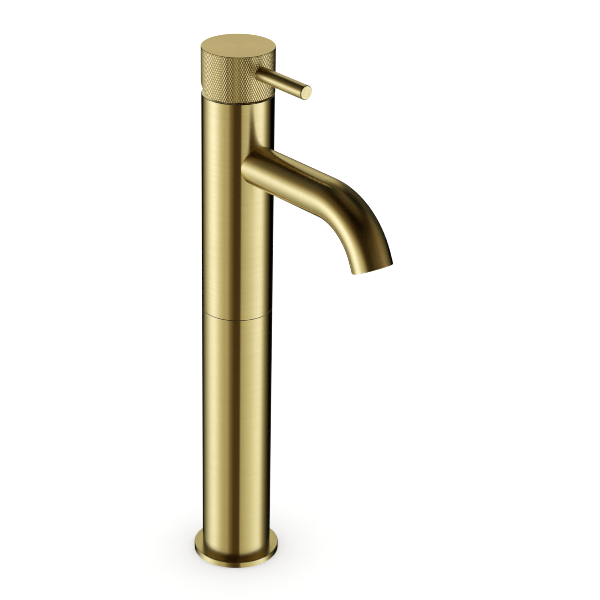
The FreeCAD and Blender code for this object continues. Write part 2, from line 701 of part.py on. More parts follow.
# ---------------------------------------------------------------- parts that turn with the lever
def make_rotating_collar():
    groove = "dims.NeckBore - dims.FitGap - 2 * dims.StemRingSection"
    low = "dims.StemRingHeight - dims.StemRingSection"
    high = "dims.StemRingHeight + dims.StemRingSection"
    body = turned("rotating_collar", [
        (CENTRE, "dims.CollarUnder"),
        ("dims.CollarFlange", "dims.CollarUnder"),
        ("dims.CollarFlange", "dims.CollarStep"),
        ("dims.CollarNeck", "dims.CollarStep"),
        ("dims.CollarNeck", low),
        (groove, low),
        (groove, high),
        ("dims.CollarNeck", high),
        ("dims.CollarNeck", "dims.CollarTop"),
        (CENTRE, "dims.CollarTop"),
    ])
    slot = new_sketch(body, "spindle_slot", "XY_Plane", "dims.CollarTop")
    draw_rectangle(slot, "-dims.SlotHalfX", "-dims.SlotHalfY", "dims.SlotHalfX", "dims.SlotHalfY")
    cut(body, slot, "dims.CollarTop - dims.CollarUnder")
    pin_hole = new_sketch(body, "pin_hole", "YZ_Plane")
    draw_circle(pin_hole, CENTRE, "dims.PivotHeight", "dims.PinRadius")
    cut_symmetric(body, pin_hole, "2 * dims.CollarNeck")


def make_stem_o_ring():
    major = "dims.NeckBore - dims.FitGap - dims.StemRingSection"
    pieces.append(o_ring("stem_o_ring", major, "dims.StemRingSection", "dims.StemRingHeight"))


def make_pivot_pin():
    bevelled = "dims.PinRadius - dims.EdgeBreak"
    body = turned("pivot_pin", [
        (CENTRE, "-dims.PinHalf"),
        (bevelled, "-dims.PinHalf"),
        ("dims.PinRadius", "-dims.PinHalf + dims.EdgeBreak"),
        ("dims.PinRadius", "dims.PinHalf - dims.EdgeBreak"),
        (bevelled, "dims.PinHalf"),
        (CENTRE, "dims.PinHalf"),
    ])
    body.Placement = Placement(Vector(0, 0, number("dims.PivotHeight")), TURN_TO_SIDE)
    body.setExpression("Placement.Base.z", "dims.PivotHeight")


# ---------------------------------------------------------------- parts that slide on the disc
def make_disc_carrier():
    def outline(sketch):
        draw_circle(sketch, CENTRE, "dims.DiscStart", "dims.CarrierRadius")

    height = "dims.CarrierTop - (" + CARRIER_BOTTOM + ")"
    body = padded("disc_carrier", "XY_Plane", CARRIER_BOTTOM, outline, height)
    socket = new_sketch(body, "ball_socket", "XY_Plane", "dims.CarrierTop")
    draw_circle(socket, CENTRE, CENTRE, "dims.SocketRadius")
    cut(body, socket, "dims.CarrierTop - dims.SocketFloor")


def make_moving_disc():
    """The moving disc's T-shaped recess joins the inlets to the outlet once it slides forward."""
    def outline(sketch):
        draw_circle(sketch, CENTRE, "dims.DiscStart", "dims.MovingDiscRadius")

    body = padded("moving_disc", "XY_Plane", MOVING_BOTTOM, outline, "dims.DiscThickness")
    recess = new_sketch(body, "mixing_recess", "XY_Plane", MOVING_BOTTOM)
    head_low = "dims.PortOffsetY + dims.PortRadius + 1.1"
    head_high = "dims.PortOffsetY + 3 * dims.PortRadius"
    head_half = "dims.PortOffsetX + 1"
    stem_low = "-dims.OutletOffset - 1.5"
    stem_half = "dims.OutletRadius + 0.4"
    draw_outline(recess, [
        ("-(" + stem_half + ")", stem_low),
        (stem_half, stem_low),
        (stem_half, head_low),
        (head_half, head_low),
        (head_half, head_high),
        ("-(" + head_half + ")", head_high),
        ("-(" + head_half + ")", head_low),
        ("-(" + stem_half + ")", head_low),
    ])
    cut(body, recess, "dims.DiscThickness * 0.6", reverse=True)


# ---------------------------------------------------------------- handle
def make_spindle():
    """Ball, stem and barrel are turned; the square and the pin hole are added."""
    body = turned("spindle", [
        (CENTRE, "dims.BallHeight"),
        ("dims.StemRadius", "dims.BallHeight"),
        ("dims.StemRadius", "dims.BarrelBottom"),
        ("dims.BarrelRadius", "dims.BarrelBottom"),
        ("dims.BarrelRadius", "dims.CollarTop"),
        (CENTRE, "dims.CollarTop"),
    ])
    ball = body.newObject("PartDesign::AdditiveSphere", "spindle_ball")
    ball.AttachmentSupport = [(origin_feature(body, "XY_Plane"), "")]
    ball.MapMode = "FlatFace"
    ball.setExpression("Radius", "dims.BallRadius")
    ball.setExpression("AttachmentOffset.Base.z", "dims.BallHeight")
    doc.recompute()
    square = new_sketch(body, "spindle_square", "XY_Plane", "dims.CollarTop")
    draw_rectangle(square, "-dims.SquareHalf", "-dims.SquareHalf", "dims.SquareHalf", "dims.SquareHalf")
    add_pad(body, square, "dims.SpindleTop - dims.CollarTop")
    pin_hole = new_sketch(body, "spindle_pin_hole", "YZ_Plane")
    draw_circle(pin_hole, CENTRE, "dims.PivotHeight", "dims.PinRadius + dims.PinClearance")
    cut_symmetric(body, pin_hole, "4 * dims.BarrelRadius")


def make_handle_insert():
    body = turned("handle_insert", [
        (CENTRE, "dims.InsertBottom"),
        ("dims.InsertRadius", "dims.InsertBottom"),
        ("dims.InsertRadius", "dims.InsertTop"),
        (CENTRE, "dims.InsertTop"),
    ])
    socket = new_sketch(body, "square_socket", "XY_Plane", "dims.InsertBottom")
    half = "dims.SquareHalf + dims.FitGap"
    draw_rectangle(socket, "-(" + half + ")", "-(" + half + ")", half, half)
    cut(body, socket, "dims.SpindleTop - dims.InsertBottom + dims.FitGap", reverse=True)
    hole = new_sketch(body, "insert_screw_hole", "XZ_Plane", "-dims.InsertRadius")
    draw_circle(hole, CENTRE, "dims.LeverHeight", "dims.ScrewRadius + dims.FitGap")
    cut(body, hole, "dims.InsertRadius", reverse=True)


def make_knob():
    """A cup with an inner boss; its rear underside slants up to leave room for the lift."""
    bore = "dims.InsertRadius + dims.FitGap"
    body = turned("knob", [
        (bore, "dims.BossBottom"),
        ("dims.BossRadius", "dims.BossBottom"),
        ("dims.BossRadius", "dims.KnobCavityTop"),
        ("dims.KnobWall", "dims.KnobCavityTop"),
        ("dims.KnobWall", "dims.KnobBottom"),
        ("dims.KnobRadius - dims.EdgeBreak", "dims.KnobBottom"),
        ("dims.KnobRadius", "dims.KnobBottom + dims.EdgeBreak"),
        ("dims.KnobRadius", "dims.KnobTop - dims.EdgeBreak"),
        ("dims.KnobRadius - dims.EdgeBreak", "dims.KnobTop"),
        (CENTRE, "dims.KnobTop"),
        (CENTRE, "dims.InsertTop"),
        (bore, "dims.InsertTop"),
    ])
    relief = new_sketch(body, "rear_relief", "YZ_Plane")
    reach = "1.2 * dims.KnobRadius"
    draw_outline(relief, [
        (CENTRE, "dims.KnobBottom"),
        (reach, "dims.KnobBottom"),
        (reach, "dims.KnobBottom + " + reach + " * tan(dims.ReliefAngle)"),
    ])
    cut_symmetric(body, relief, "3 * dims.KnobRadius")

    front = f"dims.KnobRadius + {CLEAR_CUT}"
    seat = new_sketch(body, "lever_seat", "XZ_Plane", front)
    draw_circle(seat, CENTRE, "dims.LeverHeight", "dims.LeverRadius + dims.FitGap")
    cut(body, seat, front + " - dims.LeverShoulder")
    tail = new_sketch(body, "lever_thread", "XZ_Plane", front)
    draw_circle(tail, CENTRE, "dims.LeverHeight", "dims.LeverTail + dims.FitGap")
    cut(body, tail, front + " - dims.InsertRadius / 2")
    back = f"-dims.KnobRadius - {CLEAR_CUT}"
    screw = new_sketch(body, "screw_thread", "XZ_Plane", back)
    draw_circle(screw, CENTRE, "dims.LeverHeight", "dims.ScrewRadius + dims.FitGap")
    cut(body, screw, front + " - dims.InsertRadius / 2", reverse=True)


def make_lever_rod():
    tip = "dims.InsertRadius + dims.FitGap"
    bevelled_tip = "dims.LeverTail - dims.LeverChamfer"
    bevelled_end = "dims.LeverRadius - dims.LeverChamfer"
    body = turned("lever_rod", [
        (CENTRE, tip),
        (bevelled_tip, tip),
        ("dims.LeverTail", tip + " + dims.LeverChamfer"),
        ("dims.LeverTail", "dims.LeverShoulder"),
        ("dims.LeverRadius", "dims.LeverShoulder"),
        ("dims.LeverRadius", "dims.LeverReach - dims.LeverChamfer"),
        (bevelled_end, "dims.LeverReach"),
        (CENTRE, "dims.LeverReach"),
    ])
    point_to_front(body, "dims.LeverHeight")


def make_handle_screw():
    """A grub screw behind the spindle; its own +Z points forward, so it lies at minus Z."""
    tip = "-dims.SquareHalf - dims.FitGap"
    head = tip + " - dims.ScrewLength"
    body = turned("handle_screw", [
        (CENTRE, head),
        ("dims.ScrewRadius", head),
        ("dims.ScrewRadius", tip + " - dims.EdgeBreak"),
        ("dims.ScrewRadius - dims.EdgeBreak", tip),
        (CENTRE, tip),
    ])
    key = new_sketch(body, "key_socket", "XY_Plane", head)
    corner = "dims.KeyHalf / cos(30)"
    draw_outline(key, [
        (corner, CENTRE),
        (corner + " / 2", "dims.KeyHalf"),
        ("-" + corner + " / 2", "dims.KeyHalf"),
        ("-" + corner, CENTRE),
        ("-" + corner + " / 2", "-dims.KeyHalf"),
        (corner + " / 2", "-dims.KeyHalf"),
    ])
    cut(body, key, "dims.ScrewLength / 2", reverse=True)
    point_to_front(body, "dims.LeverHeight")


# ---------------------------------------------------------------- assembly
make_base_flange()
ring("base_gasket", "dims.GasketInner", "dims.GasketOuter", CENTRE, "dims.GasketDepth")
make_base_insert()
make_lower_column()
make_column_coupler()
make_coupler_o_rings()
make_upper_column()
make_valve_manifold()
make_spout_tube()
make_spout_nipple()
make_spout_o_ring()
make_aerator()
make_cartridge_base()
make_cartridge_seals()
make_fixed_disc()
make_cartridge_housing()
make_cartridge_nut()
make_rotating_collar()
make_stem_o_ring()
make_pivot_pin()
make_disc_carrier()
make_moving_disc()
make_spindle()
make_handle_insert()
make_knob()
make_lever_rod()
make_handle_screw()
doc.recompute()

# ---------------------------------------------------------------- checks and export
for item in doc.Objects:
    if "Invalid" in item.State or "Error" in item.State:
        raise RuntimeError(f"{item.Name} failed: {item.State}")
for piece in pieces:
    if piece.Shape.isNull() or not piece.Shape.isValid():
        raise RuntimeError(f"{piece.Label} has no valid shape")

os.makedirs("parts", exist_ok=True)
for piece in pieces:
    piece.Shape.exportStep(f"parts/{piece.Label}.step")
    box = piece.Shape.BoundBox
    print(f"{piece.Label}: {piece.Shape.Volume:.0f} mm3, z {box.ZMin:.2f} to {box.ZMax:.2f}")
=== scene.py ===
import math

import bmesh
import bpy
from mathutils import Matrix, Vector


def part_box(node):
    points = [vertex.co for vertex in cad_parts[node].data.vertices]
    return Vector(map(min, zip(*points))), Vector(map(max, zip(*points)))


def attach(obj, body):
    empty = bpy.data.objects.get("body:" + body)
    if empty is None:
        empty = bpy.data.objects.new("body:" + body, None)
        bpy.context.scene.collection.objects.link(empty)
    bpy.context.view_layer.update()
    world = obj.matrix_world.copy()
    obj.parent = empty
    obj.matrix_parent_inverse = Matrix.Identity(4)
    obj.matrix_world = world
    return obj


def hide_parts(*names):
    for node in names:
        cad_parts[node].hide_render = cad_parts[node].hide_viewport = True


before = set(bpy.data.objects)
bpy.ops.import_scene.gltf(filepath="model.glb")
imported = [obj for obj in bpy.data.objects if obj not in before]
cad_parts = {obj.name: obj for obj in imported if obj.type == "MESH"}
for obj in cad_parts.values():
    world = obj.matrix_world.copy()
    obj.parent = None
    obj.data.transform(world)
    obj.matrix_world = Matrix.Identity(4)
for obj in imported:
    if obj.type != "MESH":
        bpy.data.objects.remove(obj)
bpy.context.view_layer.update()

# Tall single-lever basin mixer in brushed brass. Metres, +Z up; spout and lever point along -Y.
MM = 0.001

# ---------------------------------------------------------------- places taken from the frame
KNOB_LOW, KNOB_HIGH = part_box("knob")
FLANGE_LOW, FLANGE_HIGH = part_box("base_flange")
COLUMN_LOW, COLUMN_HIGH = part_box("upper_column")
LEVER_LOW, LEVER_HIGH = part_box("lever_rod")
SPOUT_LOW, SPOUT_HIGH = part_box("spout_tube")
BUSH_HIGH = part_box("handle_insert")[1]
SCREW_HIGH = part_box("handle_screw")[1]
LEVER_HEIGHT = (LEVER_LOW.z + LEVER_HIGH.z) / 2
LEVER_RADIUS = (LEVER_HIGH.z - LEVER_LOW.z) / 2
SPOUT_RADIUS = SPOUT_HIGH.x
SPOUT_HEIGHT = SPOUT_HIGH.z - SPOUT_RADIUS

# ---------------------------------------------------------------- camera
CAMERA_AZIMUTH = math.radians(-40.55)
CAMERA_PITCH = math.radians(25.36)
CAMERA_ROLL = math.radians(1.04)
CAMERA_DISTANCE = 1.3603
CAMERA_LENS = 128.08
CAMERA_SENSOR = 36.0
TARGET_HEIGHT = 0.1839
TARGET_RIGHT = 0.0400


def add_camera():
    """The camera: to the front left of the faucet and a little above it."""
    right = Vector((math.cos(CAMERA_AZIMUTH), math.sin(CAMERA_AZIMUTH), 0))
    level = Vector((-math.sin(CAMERA_AZIMUTH), math.cos(CAMERA_AZIMUTH), 0))
    forward = level * math.cos(CAMERA_PITCH) - Vector((0, 0, math.sin(CAMERA_PITCH)))
    up = right.cross(forward)
    target = Vector((0, 0, TARGET_HEIGHT)) + right * TARGET_RIGHT
    rolled_right = right * math.cos(CAMERA_ROLL) + up * math.sin(CAMERA_ROLL)
    rolled_up = up * math.cos(CAMERA_ROLL) - right * math.sin(CAMERA_ROLL)
    turn = Matrix((rolled_right, rolled_up, -forward)).transposed().to_4x4()
    lens = bpy.data.cameras.new("camera")
    lens.lens = CAMERA_LENS
    lens.sensor_width = CAMERA_SENSOR
    camera = bpy.data.objects.new("camera", lens)
    camera.matrix_world = Matrix.Translation(target - forward * CAMERA_DISTANCE) @ turn
    bpy.context.scene.collection.objects.link(camera)
    bpy.context.scene.camera = camera


# ---------------------------------------------------------------- node graphs
class Graph:
    """A short way to write the nodes of a material or of the world."""

    def __init__(self, owner):
        owner.use_nodes = True
        self.nodes = owner.node_tree.nodes
        self.links = owner.node_tree.links

    def put(self, value, socket):
        if isinstance(value, bpy.types.NodeSocket):
            self.links.new(value, socket)
        elif value is not None:
            socket.default_value = value

    def add(self, kind, *inputs, **settings):
        """A new node. inputs fill its sockets in order; None leaves one as it is."""
        node = self.nodes.new(kind)
        for name, value in settings.items():
            setattr(node, name, value)
        for socket, value in zip(node.inputs, inputs):
            self.put(value, socket)
        return node

    def math(self, operation, *inputs):
        return self.add("ShaderNodeMath", *inputs, operation=operation).outputs[0]

    def vector(self, operation, *inputs):
        return self.add("ShaderNodeVectorMath", *inputs, operation=operation).outputs[0]

    def dot(self, first, second):
        node = self.add("ShaderNodeVectorMath", first, second, operation="DOT_PRODUCT")
        return node.outputs["Value"]

    def length(self, vector):
        return self.add("ShaderNodeVectorMath", vector, operation="LENGTH").outputs["Value"]

    def combine(self, x, y, z):
        return self.add("ShaderNodeCombineXYZ", x, y, z).outputs[0]

    def remap(self, value, low, high, new_low, new_high, kind="LINEAR"):
        node = self.add("ShaderNodeMapRange", value, low, high, new_low, new_high)
        node.interpolation_type = kind
        return node.outputs[0]

    def noise(self, vector, detail=2.0):
        node = self.add("ShaderNodeTexNoise", vector)
        node.inputs["Scale"].default_value = 1.0
        node.inputs["Detail"].default_value = detail
        return node.outputs["Fac"]

    def ramp(self, value, stops):
        """A colour ramp. stops are (place, grey level or colour)."""
        node = self.add("ShaderNodeValToRGB", value)
        points = node.color_ramp.elements
        while len(points) < len(stops):
            points.new(0.5)
        for point, (place, level) in zip(points, stops):
            point.position = place
            point.color = (*level, 1) if isinstance(level, tuple) else (level, level, level, 1)
        return node.outputs["Color"]

    def mix(self, factor, first, second, blend="MIX"):
        node = self.add("ShaderNodeMix", data_type="RGBA", blend_type=blend)
        sockets = {socket.identifier: socket for socket in node.inputs}
        self.put(factor, sockets["Factor_Float"])
        self.put(first, sockets["A_Color"])
        self.put(second, sockets["B_Color"])
        return next(s for s in node.outputs if s.identifier == "Result_Color")


# ---------------------------------------------------------------- studio
# Brightness of the studio round the object, by the angle in degrees from the photo's side, plus to
# its right. The low ring lies below the horizon, the high ring above it, the ceiling above both.
# These tables are fitted to the photo: LOW_RING began as brightness read across the photo's column
# and turned into reflection angles, and all of them were then adjusted by comparing renders.
LOW_RING = (
    (-180, 0.00), (-148, 0.00), (-136, 0.08), (-119, 0.28), (-107, 0.50), (-97, 0.80), (-82, 0.96),
    (-73, 0.88), (-55, 0.52), (-41, 0.38), (-30, 0.37), (-21, 0.17), (-8, 0.06), (0, 0.06),
    (11.2, 0.06), (14.5, 0.36), (25, 0.43), (46, 0.58), (64, 0.78), (78, 0.88), (88, 0.76), (96, 0.44),
    (105, 0.20), (116, 0.07), (130, 0.01), (150, 0.00), (160, 0.03), (180, 0.02),
)
HIGH_RING = (
    (-180, 0.34), (-168, 0.30), (-158, 0.04), (-150, 0.01), (-130, 0.04), (-112, 0.26), (-98, 0.95),
    (-80, 0.94), (-62, 0.66), (-46, 0.46), (-22, 0.04), (5, 0.03), (30, 0.06), (55, 0.14), (78, 0.30),
    (95, 0.12), (112, 0.04), (150, 0.02), (166, 0.04), (175, 0.30), (180, 0.34),
)
CEILING = (
    (-180, 0.47), (-165, 0.42), (-152, 0.05), (-125, 0.06), (-96, 0.10), (-58, 0.08), (-30, 0.02),
    (0, 0.02), (40, 0.07), (85, 0.16), (110, 0.11), (128, 0.03), (166, 0.05), (175, 0.45),
    (180, 0.47),
)
# Colour of the panels by their brightness: warm in front of the object and behind it, cooler at the
# sides. SIDE_SHARE says where the cooler ones are, by the angle used above.
WARM_TINT = (
    (0.0, (0.90, 0.53, 0.17)), (0.10, (0.90, 0.64, 0.27)), (0.45, (0.88, 0.88, 0.62)),
    (1.0, (0.80, 0.87, 1.0)),
)
COOL_TINT = (
    (0.0, (0.85, 0.78, 0.55)), (0.10, (0.92, 0.84, 0.46)), (0.30, (0.96, 1.0, 0.80)),
    (0.6, (0.88, 0.92, 0.85)), (1.0, (0.80, 0.87, 1.0)),
)
SIDE_SHARE = (
    (-180, 0.0), (-172, 0.2), (-164, 1.0), (-109, 1.0), (-97, 0.0), (99, 0.0), (110, 1.0),
    (164, 1.0), (176, 0.0), (180, 0.0),
)
RING_STRENGTH = 1.55
# Elevations at which one band gives way to the next.
HORIZON_LOW = math.radians(-9)
HORIZON_HIGH = math.radians(3)
CEILING_LOW = math.radians(-14)
CEILING_HIGH = math.radians(30)
ZENITH_LOW = math.radians(27)
ZENITH_HIGH = math.radians(54)
TOP_LOW = math.radians(60)
TOP_HIGH = math.radians(80)
GLOW_LOW = math.radians(-35)
GLOW_HIGH = math.radians(-15)
# The low ring is multiplied by the glow and raised by the shade, from GLOW_LOW up to GLOW_HIGH.
GLOW = (0.85, 1.25)
SHADE = (0.01, -0.035)
ZENITH_LEVEL = 0.12
LAMP_LEVEL = 0.045
DOME_STRENGTH = 1.18
PIXEL_FILTER = 1.0


def light_studio():
    """Soft light from a pale dome. Polished metal sees bright and dark panels round the object."""
    world = bpy.data.worlds.new("studio")
    bpy.context.scene.world = world
    world.cycles.sampling_method = "NONE"
    graph = Graph(world)
    direction = graph.add("ShaderNodeTexCoord").outputs["Generated"]
    facing = graph.add("ShaderNodeVectorRotate", rotation_type="Z_AXIS")
    graph.put(direction, facing.inputs["Vector"])
    graph.put(math.pi / 2 - CAMERA_AZIMUTH, facing.inputs["Angle"])
    split = graph.add("ShaderNodeSeparateXYZ", facing.outputs[0]).outputs
    azimuth = graph.math("ARCTAN2", split[1], split[0])
    turn = graph.math("MULTIPLY_ADD", azimuth, 0.5 / math.pi, 0.5)
    low, high, top, side = (
        graph.ramp(turn, [(angle / 360 + 0.5, level) for angle, level in ring])
        for ring in (LOW_RING, HIGH_RING, CEILING, SIDE_SHARE)
    )
    elevation = graph.math("ARCSINE", split[2])
    above = graph.remap(elevation, HORIZON_LOW, HORIZON_HIGH, 0.0, 1.0, "SMOOTHSTEP")
    glow = graph.remap(elevation, GLOW_LOW, GLOW_HIGH, *GLOW)
    shade = graph.remap(elevation, GLOW_LOW, GLOW_HIGH, *SHADE)
    low = graph.math("MAXIMUM", graph.math("MULTIPLY_ADD", low, glow, shade), 0.0)
    overhead = graph.remap(elevation, CEILING_LOW, CEILING_HIGH, 0.0, 1.0, "SMOOTHSTEP")
    zenith = graph.remap(elevation, ZENITH_LOW, ZENITH_HIGH, 1.0, ZENITH_LEVEL, "SMOOTHSTEP")
    lamp = graph.remap(elevation, TOP_LOW, TOP_HIGH, 0.0, LAMP_LEVEL, "SMOOTHSTEP")
    top = graph.math("MULTIPLY_ADD", top, zenith, lamp)
    level = graph.mix(above, low, graph.mix(overhead, high, top))
    tint = graph.mix(side, graph.ramp(level, WARM_TINT), graph.ramp(level, COOL_TINT))
    panels = graph.mix(1.0, level, tint, "MULTIPLY")
    metal_sees = graph.add("ShaderNodeBackground", panels, RING_STRENGTH).outputs[0]
    dome = graph.add("ShaderNodeBackground", (1, 1, 1, 1), DOME_STRENGTH).outputs[0]
    is_reflection = graph.add("ShaderNodeLightPath").outputs["Is Glossy Ray"]
    chosen = graph.add("ShaderNodeMixShader", is_reflection, dome, metal_sees).outputs[0]
    graph.put(chosen, graph.nodes["World Output"].inputs["Surface"])
    bpy.context.scene.view_settings.view_transform = "Standard"
    bpy.context.scene.cycles.filter_width = PIXEL_FILTER


FLOOR_HALF = 4.0
FLOOR_GAP = 0.1 * MM
FLOOR_COLOUR = (0.96, 0.96, 0.955, 1)


def add_floor():
    """A plain pale floor, a hair below the flange so that the two don't share a plane."""
    mesh = bpy.data.meshes.new("floor")
    height = FLANGE_LOW.z - FLOOR_GAP
    sides = ((-1, -1), (1, -1), (1, 1), (-1, 1))
    corners = [(x * FLOOR_HALF, y * FLOOR_HALF, height) for x, y in sides]
    mesh.from_pydata(corners, [], [(0, 1, 2, 3)])
    floor = bpy.data.objects.new("floor", mesh)
    bpy.context.scene.collection.objects.link(floor)
    material = bpy.data.materials.new("floor_paper")
    graph = Graph(material)
    shader = graph.nodes["Principled BSDF"]
    graph.put(FLOOR_COLOUR, shader.inputs["Base Color"])
    graph.put(1.0, shader.inputs["Roughness"])
    graph.put(0.0, shader.inputs["Specular IOR Level"])
    mesh.materials.append(material)
    floor.visible_glossy = False


# ---------------------------------------------------------------- materials
TONES = ((0.77, 0.62, 0.31, 1), (0.83, 0.70, 0.385, 1))
FACE_TONES = ((0.82, 0.61, 0.31, 1), (0.88, 0.69, 0.385, 1))
TIP_TONES = ((0.90, 0.72, 0.35, 1), (0.97, 0.80, 0.44, 1))
# Painted shade: the dark colour put into the knurl's valleys.
VALLEY_SHADE_BRASS = (0.20, 0.13, 0.045, 1)
WORN_BRASS = (0.92, 0.82, 0.53, 1)
WEAR_REACH = 0.8 * MM
WEAR_FULL = 0.2 * WEAR_REACH
WEAR_UNEVEN = (0.7, 1.6)
WEAR_POLISH = 0.06
LINE_PITCH = 0.16 * MM
LINE_LENGTH = 45 * MM
STREAK_PITCH = 1.1 * MM
CLOUD_SIZE = 20
PATCHES_PER_METRE = 38.0
FINE_SHARE = 0.25
STREAK_SHARE = 0.5
PATCH_SHARE = 0.25
GLOSS_SPREAD = 0.03
GLOSS_CHANGE = 0.15
# The range that most of a noise lies in.
MIDDLE = (0.3, 0.7)
TONE_RANGE = (0.1, 0.9)
BRUSH_STRENGTH = 0.05
BRUSH_DEPTH = 0.01 * MM


def object_position(graph):
    return graph.add("ShaderNodeTexCoord").outputs["Object"]


def turned(axis, centre=(0, 0, 0)):
    """The lathe lines of a piece turned about an axis: how far across the lines a point is, and
    the direction across them."""

    def lines(graph, position):
        offset = graph.vector("SUBTRACT", position, centre)
        radial = graph.vector("MULTIPLY", offset, tuple(0.0 if a else 1.0 for a in axis))
        along = graph.dot(offset, axis)
        across = graph.math("ADD", graph.length(radial), along)
        direction = graph.vector("ADD", graph.vector("NORMALIZE", radial), axis)
        return across, direction

    return lines


SPOUT_BEND_START = -85 * MM
SPOUT_BEND_RADIUS = 42 * MM


def along_spout(graph, position):
    """The lines round the spout's tube, which is straight and then bends down."""
    split = graph.add("ShaderNodeSeparateXYZ", position).outputs
    past = graph.math("MINIMUM", graph.math("SUBTRACT", split[1], SPOUT_BEND_START), 0.0)
    height = graph.math("SUBTRACT", split[2], SPOUT_HEIGHT - SPOUT_BEND_RADIUS)
    turn = graph.math("ARCTAN2", graph.math("MULTIPLY", past, -1.0), height)
    straight = graph.math("MAXIMUM", graph.math("SUBTRACT", split[1], SPOUT_BEND_START), 0.0)
    across = graph.math("SUBTRACT", graph.math("MULTIPLY", turn, SPOUT_BEND_RADIUS), straight)
    direction = graph.combine(0.0, graph.math("MULTIPLY", height, -1.0), past)
    return across, direction


SPOUT_TURN = math.radians(66)
MOUTH_AXIS = Vector((0, -math.cos(SPOUT_TURN), -math.sin(SPOUT_TURN)))
MOUTH_FRONT = Vector((0, SPOUT_LOW.y, SPOUT_LOW.z + 2 * SPOUT_RADIUS * math.cos(SPOUT_TURN)))


def around_axis(graph, position):
    """Distance from the column's axis, and height."""
    radial = graph.length(graph.vector("MULTIPLY", position, (1.0, 1.0, 0.0)))
    return radial, graph.dot(position, (0.0, 0.0, 1.0))


def column_edges(graph, position):
    """Distances from the seam, from the column's rim and from the flange's upper edge."""
    radial, height = around_axis(graph, position)
    place = graph.combine(radial, height, 0.0)
    from_edge = graph.vector("SUBTRACT", place, (FLANGE_HIGH.x, FLANGE_HIGH.z, 0.0))
    levels = [graph.math("SUBTRACT", height, level) for level in (COLUMN_LOW.z, COLUMN_HIGH.z)]
    return [graph.length(from_edge)] + [graph.math("ABSOLUTE", level) for level in levels]


def lever_edges(graph, position):
    """Distance from the edge of the lever's end."""
    across = graph.vector("SUBTRACT", position, (0.0, 0.0, LEVER_HEIGHT))
    radial = graph.length(graph.vector("MULTIPLY", across, (1.0, 0.0, 1.0)))
    place = graph.combine(radial, graph.dot(position, (0.0, 1.0, 0.0)), 0.0)
    return [graph.length(graph.vector("SUBTRACT", place, (LEVER_RADIUS, LEVER_LOW.y, 0.0)))]


def spout_edges(graph, position):
    """Distance from the plane of the spout's mouth."""
    along = graph.dot(position, tuple(MOUTH_AXIS))
    return [graph.math("SUBTRACT", MOUTH_AXIS.dot(MOUTH_FRONT), along)]


def face_edges(graph, position):
    """Distance from the edge of the knob's face."""
    return [graph.math("SUBTRACT", KNOB_HIGH.x, around_axis(graph, position)[0])]


def edge_wear(graph, distances, streak):
    """1 where hands have polished an edge, fading unevenly to 0 a short way from it."""
    nearest = distances[0]
    for distance in distances[1:]:
        nearest = graph.math("MINIMUM", nearest, distance)
    uneven = graph.math("MULTIPLY", nearest, graph.remap(streak, *MIDDLE, *WEAR_UNEVEN))
    return graph.remap(uneven, WEAR_FULL, WEAR_REACH, 1.0, 0.0, "SMOOTHSTEP")


def brushed_brass(name, lines, tones=TONES, roughness=0.2, anisotropy=0.95, valley_shade=None, edges=None):
    """Satin brass with fine lines, faint streaks, slow patches of tone, polished edges and, where a
    mask is given, painted shade in the knurl's valleys.
    """
    material = bpy.data.materials.new(name)
    graph = Graph(material)
    shader = graph.nodes["Principled BSDF"]
    position = object_position(graph)
    split = graph.add("ShaderNodeSeparateXYZ", position).outputs
    across, direction = lines(graph, position)
    slow = 1 / LINE_LENGTH

    def line_noise(pitch, detail):
        fast = graph.math("MULTIPLY", across, 1 / pitch)
        sides = [graph.math("MULTIPLY", split[i], slow) for i in (0, 1)]
        return graph.noise(graph.combine(fast, *sides), detail)

    fine = line_noise(LINE_PITCH, 3.0)
    streak = line_noise(STREAK_PITCH, 2.0)
    patch = graph.noise(graph.vector("SCALE", position, None, None, PATCHES_PER_METRE), 2.0)
    fine_part = graph.math("MULTIPLY", fine, FINE_SHARE)
    tone = graph.math("ADD", fine_part, graph.math("MULTIPLY", streak, STREAK_SHARE))
    tone = graph.math("ADD", tone, graph.math("MULTIPLY", patch, PATCH_SHARE))
    colour = graph.mix(graph.remap(tone, *TONE_RANGE, 0.0, 1.0), *tones)
    gloss = graph.remap(tone, *MIDDLE, roughness + GLOSS_SPREAD, roughness - GLOSS_SPREAD)
    # Painted shade: the brass darkens towards the shade colour in the knurl's valleys.
    if valley_shade:
        colour = graph.mix(valley_shade(graph, position), VALLEY_SHADE_BRASS, colour)
    if edges:
        wear = edge_wear(graph, edges(graph, position), streak)
        colour = graph.mix(wear, colour, WORN_BRASS)
        gloss = graph.math("MULTIPLY_ADD", wear, -WEAR_POLISH, gloss)
    bump = graph.add("ShaderNodeBump")
    graph.put(BRUSH_STRENGTH, bump.inputs["Strength"])
    graph.put(BRUSH_DEPTH, bump.inputs["Distance"])
    graph.put(streak, bump.inputs["Height"])
    graph.put(colour, shader.inputs["Base Color"])
    graph.put(1.0, shader.inputs["Metallic"])
    graph.put(gloss, shader.inputs["Roughness"])
    graph.put(anisotropy, shader.inputs["Anisotropic"])
    graph.put(direction, shader.inputs["Tangent"])
    graph.put(bump.outputs[0], shader.inputs["Normal"])
    return material


def plain_finish(name, colours, metallic, roughness, grain):
    """A moulded, machined or sintered finish: two close tones in a fine grain."""
    material = bpy.data.materials.new(name)
    graph = Graph(material)
    shader = graph.nodes["Principled BSDF"]
    position = object_position(graph)
    cloud = graph.noise(graph.vector("SCALE", position, None, None, 1 / (CLOUD_SIZE * grain)), 3.0)
    fine = graph.noise(graph.vector("SCALE", position, None, None, 1 / grain), 4.0)
    tone = graph.math("ADD", graph.math("MULTIPLY", fine, 0.5), graph.math("MULTIPLY", cloud, 0.5))
    colour = graph.mix(graph.remap(tone, 0.35, 0.65, 0.0, 1.0), *colours)
    graph.put(colour, shader.inputs["Base Color"])
    graph.put(metallic, shader.inputs["Metallic"])
    dull, bright = roughness * (1 + GLOSS_CHANGE), roughness * (1 - GLOSS_CHANGE)
    gloss = graph.remap(tone, *MIDDLE, dull, bright)
    graph.put(gloss, shader.inputs["Roughness"])
    return material


